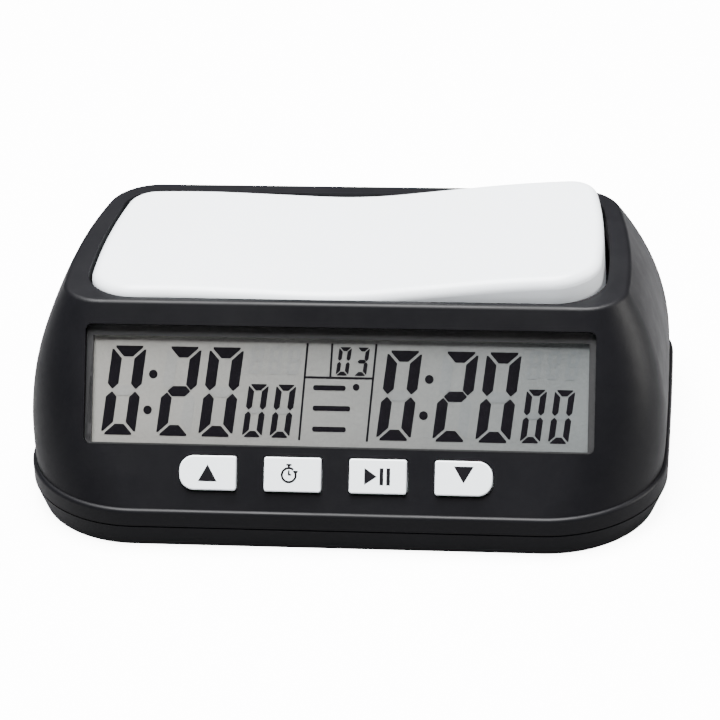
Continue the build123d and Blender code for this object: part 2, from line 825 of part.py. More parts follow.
with BuildPart() as slide_switch_slider:
    fork_z = slider_top_z + fork_gap
    upright_box(
        slider_x, rocker_middle_y, slider_foot_z, slider_foot_z + slider_foot_height,
        slider_foot_length, slider_foot_width,
    )
    upright_box(
        slider_x, rocker_middle_y, slider_foot_z, fork_z, slider_neck_length, slider_neck_width
    )
    upright_box(
        slider_x, rocker_middle_y, fork_z, fork_z + prong_height, slider_neck_length, prong_width
    )
    upright_box(
        slider_x, rocker_middle_y, pivot_z - arm_drop - 2 * fork_gap, fork_z + prong_height,
        arm_thickness + 2 * fork_gap, prong_width, Mode.SUBTRACT,
    )
write(slide_switch_slider.part, "slide_switch_slider")

# Sounder: a brass plate with a ceramic disc on it
with BuildPart() as buzzer_plate:
    with BuildSketch(Plane.XY.offset(buzzer_z)):
        with Locations((buzzer_x, buzzer_y)):
            Circle(buzzer_radius)
    extrude(amount=-buzzer_plate_thickness)
write(buzzer_plate.part, "buzzer_plate")

with BuildPart() as buzzer_ceramic:
    with BuildSketch(Plane.XY.offset(buzzer_z - buzzer_plate_thickness)):
        with Locations((buzzer_x, buzzer_y)):
            Circle(ceramic_radius)
    extrude(amount=-ceramic_thickness)
write(buzzer_ceramic.part, "buzzer_ceramic")

# AA cell and its two contacts
contact_x = bay_half_length - board_gap - contact_thickness
nub_end_x = contact_x
cell_end_x = nub_end_x - cell_nub_length
cell_tail_x = cell_end_x - cell_length
with BuildPart() as aa_cell:
    with BuildSketch(Plane.YZ.offset(cell_tail_x)):
        with Locations((cell_y, cell_z)):
            Circle(cell_radius)
    extrude(amount=cell_length)
    fillet(aa_cell.edges().filter_by(GeomType.CIRCLE), cell_edge_radius)
    with BuildSketch(Plane.YZ.offset(cell_end_x)):
        with Locations((cell_y, cell_z)):
            Circle(cell_nub_radius)
    extrude(amount=cell_nub_length)
write(aa_cell.part, "aa_cell")

contact_top_z = bay_top_z + bay_wall + contact_tab_height
for name, side in (("cell_contact_plate", 1), ("cell_contact_spring", -1)):
    with BuildPart() as contact:
        middle_x = side * (contact_x + contact_thickness / 2)
        upright_box(
            middle_x, cell_y, floor_z + cell_gap, bay_top_z - cell_gap, contact_thickness, contact_width
        )
        upright_box(middle_x, cell_y, cell_z, contact_top_z, contact_thickness, contact_tab_width)
        if side < 0:
            spring_length = cell_tail_x + contact_x - spring_wire_radius
            with BuildLine():
                coil = Helix(
                    pitch=spring_pitch, height=spring_length, radius=spring_base_radius,
                    center=(-contact_x, cell_y, cell_z), direction=(1, 0, 0), cone_angle=spring_cone_angle,
                )
            with BuildSketch(Plane(origin=coil @ 0, z_dir=coil % 0)):
                Circle(spring_wire_radius)
            sweep(is_frenet=True)
    write(contact.part, name)

# Battery door: a plate that turns on two pins at its front edge, with a finger notch at the rear
with BuildPart() as battery_door:
    upright_box(
        0, cell_y, casing_bottom_z, casing_bottom_z + door_thickness,
        2 * door_half_length, 2 * door_half_width,
    )
    fillet(
        battery_door.edges().filter_by(Axis.X).group_by(Axis.Y)[0], door_thickness / 2 - running_gap
    )
    with BuildSketch(Plane.YZ.offset(-door_half_length - door_pin_length)):
        with Locations((door_hinge_y, door_hinge_z)):
            Circle(door_pin_radius)
    extrude(amount=2 * (door_half_length + door_pin_length))
    with BuildSketch(Plane.XY.offset(casing_bottom_z)):
        with Locations((0, cell_y + door_half_width)):
            Circle(door_notch_radius)
    extrude(amount=door_thickness / 2, mode=Mode.SUBTRACT)
write(battery_door.part, "battery_door")

# Power switch: its body stands on the floor and its knob shows underneath
with BuildPart() as power_switch_body:
    upright_box(
        power_x, power_y, floor_z, floor_z + power_body_height, power_body_length, power_body_width
    )
    upright_box(
        power_x, power_y, floor_z, floor_z + power_foot_height + power_gap,
        power_foot_length + power_travel + 2 * power_gap, power_foot_width + 2 * power_gap, Mode.SUBTRACT,
    )
write(power_switch_body.part, "power_switch_body")

with BuildPart() as power_switch_knob:
    knob_x = power_x - power_travel / 2
    upright_box(
        knob_x, power_y, casing_bottom_z + power_knob_recess, floor_z + power_foot_height,
        power_knob_length, power_knob_width,
    )
    upright_box(
        knob_x, power_y, floor_z + running_gap, floor_z + power_foot_height,
        power_foot_length, power_foot_width,
    )
write(power_switch_knob.part, "power_switch_knob")

# Rubber feet and the screws that close the casing
for index, (x, y) in enumerate(foot_points):
    with BuildPart() as foot:
        with BuildSketch():
            with Locations((x, y)):
                Circle(foot_radius)
        extrude(amount=foot_rise + foot_recess)
        fillet(foot.edges().group_by(Axis.Z)[0], foot_edge_radius)
    write(foot.part, f"foot_{index + 1}")

with BuildPart() as casing_screws:
    with BuildSketch(Plane.XY.offset(screw_seat_z)):
        with Locations(casing_screw_points):
            Circle(screw_radius)
    extrude(amount=screw_length)
    with BuildSketch(Plane.XY.offset(screw_seat_z)):
        with Locations(casing_screw_points):
            Circle(screw_head_radius)
    extrude(amount=-screw_head_height)
    fillet(casing_screws.edges().group_by(Axis.Z)[0], screw_edge_radius)
    with BuildSketch(Plane.XY.offset(screw_seat_z - screw_head_height)):
        with Locations(casing_screw_points):
            Rectangle(screw_head_radius, cross_width)
            Rectangle(cross_width, screw_head_radius)
    extrude(amount=cross_depth, mode=Mode.SUBTRACT)
write(casing_screws.part, "casing_screws")

# Insulated leads
tab_x = contact_x + contact_thickness + lead_radius
tab_turn_z = contact_top_z + lead_rise
tab_end_z = contact_top_z - cell_lead_overlap
power_top_z = floor_z + power_body_height
rocker_pad_y = rocker_middle_y - rocker_board_width / 2 + rocker_pad_inset
solder_y = buzzer_y - ceramic_radius - buzzer_solder_out
solder_z = buzzer_z - buzzer_plate_thickness
leads = {
    "cell_lead_black": [
        board_back(*cell_black_pad),
        board_back(*cell_black_pad, lead_rise),
        (-tab_x, cell_black_turn_y, tab_end_z - cell_lead_overlap),
        (-tab_x, cell_y, tab_turn_z),
        (-tab_x, cell_y, tab_end_z),
    ],
    "cell_lead_red": [
        (power_x + power_tag_x, power_y, power_top_z),
        (power_x + power_tag_x, power_y, power_top_z + 2 * lead_rise),
        (tab_x + cell_red_turn[0], cell_y + cell_red_turn[1], tab_turn_z),
        (tab_x, cell_y, tab_turn_z),
        (tab_x, cell_y, tab_end_z),
    ],
    "power_lead_red": [
        board_back(*power_pad),
        board_back(*power_pad, lead_rise),
        (power_x - power_tag_x, power_y, power_top_z + power_lead_rise),
        (power_x - power_tag_x, power_y, power_top_z),
    ],
}
for number, x in enumerate(rocker_pads_x):
    leads[f"rocker_lead_{number + 1}"] = [
        board_back(x, rocker_pad_s),
        board_back(x, rocker_pad_s, rocker_lead_rise),
        (x, rocker_pad_y, rocker_board_top_z + lead_rise),
        (x, rocker_pad_y, rocker_board_top_z),
    ]
for name, x in (("buzzer_lead_red", buzzer_x - buzzer_pad_x), ("buzzer_lead_black", buzzer_x + buzzer_pad_x)):
    leads[name] = [
        board_back(x, buzzer_pad_s),
        board_back(x, buzzer_pad_s, lead_rise),
        (x, solder_y, solder_z - buzzer_lead_drop),
        (x, solder_y, solder_z),
    ]
for name, points in leads.items():
    write(lead(points), name)
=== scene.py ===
"""Finishes, display, key symbols and studio for a digital chess clock."""
import json
from math import atan2, cos, pi, radians, sin, sqrt

import bmesh
import bpy
from mathutils import Matrix, Vector


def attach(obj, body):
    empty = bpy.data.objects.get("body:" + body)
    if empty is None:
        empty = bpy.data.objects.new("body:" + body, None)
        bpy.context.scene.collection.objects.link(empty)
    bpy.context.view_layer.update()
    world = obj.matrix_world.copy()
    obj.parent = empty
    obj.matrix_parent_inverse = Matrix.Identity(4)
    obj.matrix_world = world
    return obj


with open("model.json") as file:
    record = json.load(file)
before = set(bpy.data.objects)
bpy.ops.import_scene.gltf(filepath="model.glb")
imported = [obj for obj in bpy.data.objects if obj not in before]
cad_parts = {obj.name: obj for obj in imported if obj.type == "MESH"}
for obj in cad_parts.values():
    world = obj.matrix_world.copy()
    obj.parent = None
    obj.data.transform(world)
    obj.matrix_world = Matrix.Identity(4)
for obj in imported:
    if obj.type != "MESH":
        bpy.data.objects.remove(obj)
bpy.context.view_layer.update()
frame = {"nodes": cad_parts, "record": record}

bl_info = {
    "name": "Chess clock",
    "version": (1, 0, 0),
    "blender": (4, 5, 0),
    "location": "3D View > Sidebar > Chess clock",
    "description": "Finishes, display, key symbols and studio for a chess clock",
    "category": "Object",
}

MM = 0.001

# ---------------------------------------------------------------- the sloping panel

PANEL_FOOT = Vector((0, -47.5, 10.0)) * MM
PANEL_LEAN = atan2(40.5, 25.2)
INK_DEPTH = 2.91
KEY_FACE = 0.9
KEY_MIDDLE = 8.55
KEY_PITCH = 19.6
FAR = 1e-5

# Which of the seven bars are dark for each figure: a is the top one, then clockwise, and g is the middle one
ZERO = "abcdef"
TWO = "abdeg"
THREE = "abcdg"
ALL_BARS = "abcdefg"


def on_panel(x, s, out):
    """The place on the sloping panel, in metres: x across, s up the slope, out towards the player."""
    turn = Matrix.Rotation(PANEL_LEAN, 4, "X")
    return Matrix.Translation(PANEL_FOOT) @ turn @ Matrix.Translation(Vector((x, s, out)) * MM)


# ---------------------------------------------------------------- small modelling steps

def select_only(obj):
    """Make one object the only selected and the active one."""
    bpy.ops.object.select_all(action="DESELECT")
    obj.select_set(True)
    bpy.context.view_layer.objects.active = obj


def settle():
    """Put the active object's place, turn and size into its mesh."""
    bpy.ops.object.transform_apply(location=True, rotation=True, scale=True)


def select_edges(obj, chosen):
    """In edit mode, select just the edges whose two ends pass the test."""
    mesh = bmesh.from_edit_mesh(obj.data)
    for item in (*mesh.verts, *mesh.edges, *mesh.faces):
        item.select = False
    for edge in mesh.edges:
        if chosen(edge.verts[0].co, edge.verts[1].co):
            edge.select_set(True)
    bmesh.update_edit_mesh(obj.data)


def upright(first, second):
    return (first - second).xy.length < FAR


def bevel_corners(obj, radius, segments=1, where=None):
    """Bevel the upright corners of a flat piece that lie where the test says."""
    select_only(obj)
    bpy.ops.object.mode_set(mode="EDIT")
    bpy.ops.mesh.select_mode(type="EDGE")
    select_edges(obj, lambda a, b: upright(a, b) and (where is None or where(a)))
    bpy.ops.mesh.bevel(offset=radius * MM, segments=segments, affect="EDGES", clamp_overlap=False)
    bpy.ops.object.mode_set(mode="OBJECT")


def soften_rim(obj, radius):
    """Bevel the whole upper outline of a flat piece."""
    select_only(obj)
    top = max(v.co.z for v in obj.data.vertices)
    bpy.ops.object.mode_set(mode="EDIT")
    bpy.ops.mesh.select_mode(type="EDGE")
    select_edges(obj, lambda a, b: min(a.z, b.z) > top - FAR)
    bpy.ops.mesh.bevel(offset=radius * MM, segments=1, affect="EDGES", clamp_overlap=True)
    bpy.ops.object.mode_set(mode="OBJECT")


def block(name, x, y, width, height, thickness):
    """A flat block to be shaped further, lying with its middle at (x, y)."""
    bpy.ops.object.select_all(action="DESELECT")
    bpy.ops.mesh.primitive_cube_add(size=1, location=Vector((x, y, 0)) * MM)
    obj = bpy.context.active_object
    obj.name = name
    obj.scale = Vector((width, height, thickness)) * MM
    settle()
    return obj


def plate(name, x, y, width, height, thickness, corner, segments=3):
    """A flat bar with rounded corners, lying with its middle at (x, y)."""
    obj = block(name, x, y, width, height, thickness)
    bevel_corners(obj, corner, segments)
    return obj


def triangle(name, x, y, width, height, thickness, turn):
    """A flat triangle whose point is turned from straight up, anticlockwise."""
    bpy.ops.object.select_all(action="DESELECT")
    bpy.ops.mesh.primitive_circle_add(vertices=3, radius=1, fill_type="NGON", location=(0, 0, 0))
    obj = bpy.context.active_object
    obj.name = name
    obj.scale = Vector((width / (2 * cos(pi / 6)), height / 1.5, 1)) * MM
    settle()
    select_only(obj)
    bpy.ops.object.mode_set(mode="EDIT")
    bpy.ops.mesh.select_all(action="SELECT")
    bpy.ops.transform.translate(value=(0, -height / 6 * MM, 0))
    bpy.ops.mesh.extrude_region_move(TRANSFORM_OT_translate={"value": (0, 0, thickness * MM)})
    bpy.ops.mesh.select_all(action="SELECT")
    bpy.ops.mesh.normals_make_consistent(inside=False)
    bpy.ops.object.mode_set(mode="OBJECT")
    bevel_corners(obj, thickness, 2)
    obj.rotation_euler.z = turn
    obj.location = Vector((x, y, -thickness / 2)) * MM
    select_only(obj)
    settle()
    return obj


def disc(name, x, y, radius, thickness):
    """A flat round dot with a softened rim."""
    bpy.ops.object.select_all(action="DESELECT")
    bpy.ops.mesh.primitive_cylinder_add(
        vertices=32, radius=radius * MM, depth=thickness * MM, location=Vector((x, y, 0)) * MM
    )
    obj = bpy.context.active_object
    obj.name = name
    settle()
    soften_rim(obj, thickness / 3)
    return obj


def copy_of(source, name):
    """A copy with its own mesh."""
    obj = source.copy()
    obj.data = source.data.copy()
    obj.name = name
    bpy.context.collection.objects.link(obj)
    return obj


def joined(pieces, name):
    """Several objects made one."""
    select_only(pieces[0])
    for piece in pieces:
        piece.select_set(True)
    if len(pieces) > 1:
        bpy.ops.object.join()
    obj = bpy.context.active_object
    obj.name = name
    obj.data.name = name
    return obj


def place_on_panel(obj, x, s, out):
    """Carry a piece modelled flat to its place on the sloping panel."""
    obj.matrix_world = on_panel(x, s, out)
    select_only(obj)
    settle()


# ---------------------------------------------------------------- figures of the display

FLAT = 0.04
BLUNT_TIP = 0.16
MIDDLE_GAP = 0.6
MIDDLE_STROKE = 0.94
TALL_POINT = 0.46
MIDDLE_POINT = 0.42


class Figure:
    """The seven bars of one size of figure, modelled once, and copied for each figure that is shown."""

    def __init__(self, height, width, slant, stroke, gap):
        self.height, self.slant = height, slant
        half, mid = stroke / 2, height / 2
        blunt = stroke * BLUNT_TIP
        slit = gap * sqrt(0.5) + blunt
        long_bar = width - 2 * slit
        tall_bar = mid - slit - gap * MIDDLE_GAP
        upper, lower = height - slit - tall_bar / 2, slit + tall_bar / 2
        self.bars = {
            "a": block("bar_a", width / 2, height - half, long_bar, stroke, FLAT),
            "b": block("bar_b", width - half, upper, stroke, tall_bar, FLAT),
            "c": block("bar_c", width - half, lower, stroke, tall_bar, FLAT),
            "d": block("bar_d", width / 2, half, long_bar, stroke, FLAT),
            "e": block("bar_e", half, lower, stroke, tall_bar, FLAT),
            "f": block("bar_f", half, upper, stroke, tall_bar, FLAT),
            "g": block("bar_g", width / 2, mid, width - stroke - gap / 2, stroke * MIDDLE_STROKE, FLAT),
        }
        # the inner ends are cut to a long slant where two bars meet, and to a point beside the middle bar
        for letter, inward in (("a", -1), ("d", 1)):
            centre = self.middle(letter)
            bevel_corners(self.bars[letter], stroke - blunt, 1, lambda p: (p.y - centre.y) * inward > 0)
        for letter in "bcef":
            centre = self.middle(letter)
            inward = -1 if letter in "bc" else 1
            end = 1 if letter in "bf" else -1
            bar = self.bars[letter]
            bevel_corners(
                bar, stroke - blunt, 1, lambda p: (p.x - centre.x) * inward > 0 and (p.y - centre.y) * end > 0
            )
            tip = tall_bar / 2 * MM - FAR
            bevel_corners(bar, stroke * TALL_POINT, 1, lambda p: (p.y - centre.y) * end < -tip)
        bevel_corners(self.bars["g"], stroke * MIDDLE_POINT, 1)

    def middle(self, letter):
        """The middle of one bar's block."""
        corners = [vertex.co for vertex in self.bars[letter].data.vertices]
        return sum(corners, Vector()) / len(corners)

    def show(self, name, bars, x, s):
        """One figure with the bars named, its lower left corner at (x, s)."""
        figure = joined([copy_of(self.bars[letter], f"{name}_{letter}") for letter in bars], name)
        lean = Matrix.Identity(4)
        lean[0][1] = self.slant / self.height
        figure.data.transform(lean)
        place_on_panel(figure, x, s, -INK_DEPTH)
        return figure

    def clear(self):
        """Remove the patterns once every figure is copied from them."""
        for bar in self.bars.values():
            bpy.data.objects.remove(bar)


# ---------------------------------------------------------------- settings

class ClockSettings(bpy.types.PropertyGroup):
    """Colours and sizes that a user would change."""

    casing_colour: bpy.props.FloatVectorProperty(
        name="Casing", description="Colour of the two casing halves", subtype="COLOR",
        size=3, min=0, max=1, default=(0.0036, 0.0036, 0.0046),
    )
    rocker_colour: bpy.props.FloatVectorProperty(
        name="Rocker", description="Colour of the rocker", subtype="COLOR",
        size=3, min=0, max=1, default=(0.87, 0.91, 0.95),
    )
    key_colour: bpy.props.FloatVectorProperty(
        name="Keys", description="Colour of the four keys", subtype="COLOR",
        size=3, min=0, max=1, default=(0.92, 0.97, 1.0),
    )
    # The two end colours hold painted shade: the left end lighter and warmer, the right end darker and
    # cooler, where light falls unevenly across the display.
    display_lit_left: bpy.props.FloatVectorProperty(
        name="Display, left", description="Colour of the display's ground at its left end", subtype="COLOR",
        size=3, min=0, max=1, default=(0.212, 0.209, 0.195),
    )
    display_shaded_right: bpy.props.FloatVectorProperty(
        name="Display, right", description="Colour of the display's ground at its right end", subtype="COLOR",
        size=3, min=0, max=1, default=(0.112, 0.121, 0.122),
    )
    ink_colour: bpy.props.FloatVectorProperty(
        name="Figures", description="Colour of the dark figures and the key symbols", subtype="COLOR",
        size=3, min=0, max=1, default=(0.004, 0.0035, 0.005),
    )
    ghost_tint: bpy.props.FloatVectorProperty(
        name="Unlit bars", description="Tint of the faint unlit bars against the display's ground",
        subtype="COLOR", size=3, min=0, max=1, default=(0.93, 0.945, 0.97),
    )
    big_height: bpy.props.FloatProperty(
        name="Large figures", description="Height of the large figures", unit="LENGTH", default=20.6 * MM,
    )
    small_height: bpy.props.FloatProperty(
        name="Small figures", description="Height of the seconds figures", unit="LENGTH", default=12.2 * MM,
    )
    middle_height: bpy.props.FloatProperty(
        name="Middle figures", description="Height of the mode figures", unit="LENGTH", default=6.5 * MM,
    )
    rule_width: bpy.props.FloatProperty(
        name="Rules", description="Width of the display's thin lines", unit="LENGTH", default=0.48 * MM,
    )
    camera_distance: bpy.props.FloatProperty(
        name="Camera distance", description="From the camera to the clock", unit="LENGTH", default=0.734,
    )
    soft_light: bpy.props.FloatProperty(
        name="Overhead light", description="Power of the softbox above the clock",
        unit="POWER", default=102.0,
    )


# ---------------------------------------------------------------- shared effects for the materials

def new_group(name, inputs, outputs):
    """An empty node group with the sockets named."""
    tree = bpy.data.node_groups.new(name, "ShaderNodeTree")
    for label, kind, value in inputs:
        socket = tree.interface.new_socket(name=label, in_out="INPUT", socket_type=kind)
        socket.default_value = value
    for label, kind in outputs:
        tree.interface.new_socket(name=label, in_out="OUTPUT", socket_type=kind)
    return tree, tree.nodes.new("NodeGroupInput"), tree.nodes.new("NodeGroupOutput")


def noise(tree, scale, detail, roughness=0.5):
    """Noise in the object's own coordinates."""
    place = tree.nodes.new("ShaderNodeTexCoord")
    texture = tree.nodes.new("ShaderNodeTexNoise")
    texture.inputs["Scale"].default_value = scale
    texture.inputs["Detail"].default_value = detail
    texture.inputs["Roughness"].default_value = roughness
    tree.links.new(place.outputs["Object"], texture.inputs["Vector"])
    return texture


def ramp(tree, source, low, high, out_low, out_high):
    """A value carried from one range to another and held inside it."""
    node = tree.nodes.new("ShaderNodeMapRange")
    for label, value in (("From Min", low), ("From Max", high), ("To Min", out_low), ("To Max", out_high)):
        node.inputs[label].default_value = value
    tree.links.new(source, node.inputs["Value"])
    return node


def mix(tree, mode, factor, first, second):
    """Two colours mixed; each argument is a socket or a plain value."""
    node = tree.nodes.new("ShaderNodeMix")
    node.data_type = "RGBA"
    node.blend_type = mode
    for index, value in ((0, factor), (6, first), (7, second)):
        if isinstance(value, bpy.types.NodeSocket):
            tree.links.new(value, node.inputs[index])
        else:
            node.inputs[index].default_value = value
    return node.outputs[2]


def maths(tree, operation, first, second):
    node = tree.nodes.new("ShaderNodeMath")
    node.operation = operation
    for index, value in enumerate((first, second)):
        if isinstance(value, bpy.types.NodeSocket):
            tree.links.new(value, node.inputs[index])
        else:
            node.inputs[index].default_value = value
    return node.outputs[0]


def moulded_group():
    """Moulded plastic and rubber: change of shade, fine speckle, handling marks and spark-eroded grain."""
    tree, given, result = new_group(
        "moulded_surface",
        (
            ("Colour", "NodeSocketColor", (0.5, 0.5, 0.5, 1)),
            ("Shade Change", "NodeSocketFloat", 0.1),
            ("Roughness", "NodeSocketFloat", 0.4),
            ("Roughness Change", "NodeSocketFloat", 0.1),
            ("Grain Depth", "NodeSocketFloat", 1.0),
        ),
        (("Colour", "NodeSocketColor"), ("Roughness", "NodeSocketFloat"), ("Height", "NodeSocketFloat")),
    )
    slow = noise(tree, 28.0, 3.0)
    speckle = noise(tree, 900.0, 2.0)
    grain = noise(tree, 2600.0, 3.0, 0.6)
    marks = noise(tree, 75.0, 6.0, 0.65)
    shade = maths(tree, "ADD", slow.outputs["Fac"], maths(tree, "MULTIPLY", speckle.outputs["Fac"], 0.35))
    swing = ramp(tree, shade, 0.45, 0.9, -1.0, 1.0)
    amount = maths(tree, "MULTIPLY", swing.outputs["Result"], given.outputs["Shade Change"])
    level = maths(tree, "ADD", amount, 1.0)
    scaled = tree.nodes.new("ShaderNodeVectorMath")
    scaled.operation = "SCALE"
    tree.links.new(given.outputs["Colour"], scaled.inputs[0])
    tree.links.new(level, scaled.inputs["Scale"])
    tree.links.new(scaled.outputs["Vector"], result.inputs["Colour"])
    handled = ramp(tree, marks.outputs["Fac"], 0.35, 0.7, -1.0, 1.0)
    rough = maths(
        tree, "ADD", given.outputs["Roughness"],
        maths(tree, "MULTIPLY", handled.outputs["Result"], given.outputs["Roughness Change"]),
    )
    tree.links.new(rough, result.inputs["Roughness"])
    tree.links.new(
        maths(tree, "MULTIPLY", grain.outputs["Fac"], given.outputs["Grain Depth"]), result.inputs["Height"]
    )
    return tree


def metal_group():
    """Plated and rolled metal: dull patches and fine lines drawn one way."""
    tree, given, result = new_group(
        "plated_metal",
        (
            ("Colour", "NodeSocketColor", (0.6, 0.6, 0.6, 1)),
            ("Tarnish", "NodeSocketColor", (0.3, 0.28, 0.25, 1)),
            ("Roughness", "NodeSocketFloat", 0.3),
        ),
        (("Colour", "NodeSocketColor"), ("Roughness", "NodeSocketFloat"), ("Height", "NodeSocketFloat")),
    )
    patches = noise(tree, 260.0, 4.0)
    place = tree.nodes.new("ShaderNodeTexCoord")
    stretch = tree.nodes.new("ShaderNodeMapping")
    stretch.inputs["Scale"].default_value = (200.0, 4200.0, 4200.0)
    lines = tree.nodes.new("ShaderNodeTexNoise")
    lines.inputs["Scale"].default_value = 1.0
    tree.links.new(place.outputs["Object"], stretch.inputs["Vector"])
    tree.links.new(stretch.outputs["Vector"], lines.inputs["Vector"])
    dull = ramp(tree, patches.outputs["Fac"], 0.5, 0.75, 0.0, 0.6)
    colour = mix(tree, "MIX", dull.outputs["Result"], given.outputs["Colour"], given.outputs["Tarnish"])
    tree.links.new(colour, result.inputs["Colour"])
    spread = ramp(tree, lines.outputs["Fac"], 0.3, 0.7, -0.06, 0.1)
    tree.links.new(
        maths(tree, "ADD", given.outputs["Roughness"], spread.outputs["Result"]), result.inputs["Roughness"]
    )
    tree.links.new(lines.outputs["Fac"], result.inputs["Height"])
    return tree


def smudge_group():
    """Clear sheet: faint smears and dust that catch the light."""
    tree, given, result = new_group(
        "clear_smudges",
        (("Clear", "NodeSocketFloat", 0.03), ("Smeared", "NodeSocketFloat", 0.07)),
        (("Alpha", "NodeSocketFloat"), ("Roughness", "NodeSocketFloat")),
    )
    smear = noise(tree, 40.0, 5.0, 0.6)
    dust = noise(tree, 1900.0, 1.0)
    soft = ramp(tree, smear.outputs["Fac"], 0.4, 0.7, 0.0, 1.0)
    specks = ramp(tree, dust.outputs["Fac"], 0.74, 0.78, 0.0, 0.5)
    mask = maths(tree, "ADD", soft.outputs["Result"], specks.outputs["Result"])
    span = maths(tree, "SUBTRACT", given.outputs["Smeared"], given.outputs["Clear"])
    smeared = maths(tree, "MULTIPLY", mask, span)
    tree.links.new(maths(tree, "ADD", given.outputs["Clear"], smeared), result.inputs["Alpha"])
    haze = ramp(tree, smear.outputs["Fac"], 0.3, 0.7, 0.05, 0.16)
    tree.links.new(haze.outputs["Result"], result.inputs["Roughness"])
    return tree


def across_group():
    """A soft change from one colour to another along X for the display's ground, as painted shade: lighter at
    the left end and darker at the right, where the light falls across it.
    """
    tree, given, result = new_group(
        "display_ground_painted_shade",
        (("Left", "NodeSocketColor", (0.4, 0.4, 0.4, 1)), ("Right", "NodeSocketColor", (0.3, 0.3, 0.3, 1))),
        (("Colour", "NodeSocketColor"), ("Roughness", "NodeSocketFloat")),
    )
    place = tree.nodes.new("ShaderNodeTexCoord")
    parts = tree.nodes.new("ShaderNodeSeparateXYZ")
    tree.links.new(place.outputs["Object"], parts.inputs["Vector"])
    # painted shade: the ground reads as lit more at the left end and less at the right
    along = ramp(tree, parts.outputs["X"], -57 * MM, 57 * MM, 0.0, 1.0)
    base = mix(tree, "MIX", along.outputs["Result"], given.outputs["Left"], given.outputs["Right"])
    fibre = noise(tree, 1500.0, 3.0)
    cloud = noise(tree, 22.0, 2.0)
    fine = ramp(tree, fibre.outputs["Fac"], 0.3, 0.7, 0.94, 1.05)
    broad = ramp(tree, cloud.outputs["Fac"], 0.3, 0.7, 0.95, 1.05)
    scaled = tree.nodes.new("ShaderNodeVectorMath")
    scaled.operation = "SCALE"
    tree.links.new(base, scaled.inputs[0])
    shade = maths(tree, "MULTIPLY", fine.outputs["Result"], broad.outputs["Result"])
    tree.links.new(shade, scaled.inputs["Scale"])
    tree.links.new(scaled.outputs["Vector"], result.inputs["Colour"])
    rough = ramp(tree, fibre.outputs["Fac"], 0.3, 0.7, 0.45, 0.6)
    tree.links.new(rough.outputs["Result"], result.inputs["Roughness"])
    return tree


# ---------------------------------------------------------------- materials

def new_material(name, group, values):
    """A material whose shader is fed by one shared group; values go to the group's inputs."""
    mat = bpy.data.materials.new(name)
    mat.use_nodes = True
    tree = mat.node_tree
    shader = tree.nodes["Principled BSDF"]
    effect = tree.nodes.new("ShaderNodeGroup")
    effect.node_tree = group
    for label, value in values.items():
        effect.inputs[label].default_value = (*value, 1) if isinstance(value, tuple) else value
    for label, socket in (("Colour", "Base Color"), ("Roughness", "Roughness"), ("Alpha", "Alpha")):
        if label in effect.outputs:
            tree.links.new(effect.outputs[label], shader.inputs[socket])
    return mat, tree, shader, effect


def add_bump(tree, shader, effect, strength, distance):
    bump = tree.nodes.new("ShaderNodeBump")
    bump.inputs["Strength"].default_value = strength
    bump.inputs["Distance"].default_value = distance * MM
    tree.links.new(effect.outputs["Height"], bump.inputs["Height"])
    tree.links.new(bump.outputs["Normal"], shader.inputs["Normal"])


def moulded(name, group, colour, shade, rough, rough_change, depth, specular=0.5):
    mat, tree, shader, effect = new_material(
        name, group,
        {
            "Colour": tuple(colour), "Shade Change": shade,
            "Roughness": rough, "Roughness Change": rough_change,
        },
    )
    shader.inputs["Specular IOR Level"].default_value = specular
    add_bump(tree, shader, effect, 0.35, depth)
    return mat


def metal(name, group, colour, tarnish, rough):
    mat, tree, shader, effect = new_material(
        name, group, {"Colour": tuple(colour), "Tarnish": tuple(tarnish), "Roughness": rough}
    )
    shader.inputs["Metallic"].default_value = 1.0
    add_bump(tree, shader, effect, 0.2, 0.01)
    return mat


def clear(name, group, colour, low, high):
    mat, _, shader, _ = new_material(name, group, {"Clear": low, "Smeared": high})
    shader.inputs["Base Color"].default_value = (*colour, 1)
    shader.inputs["IOR"].default_value = 1.49
    return mat


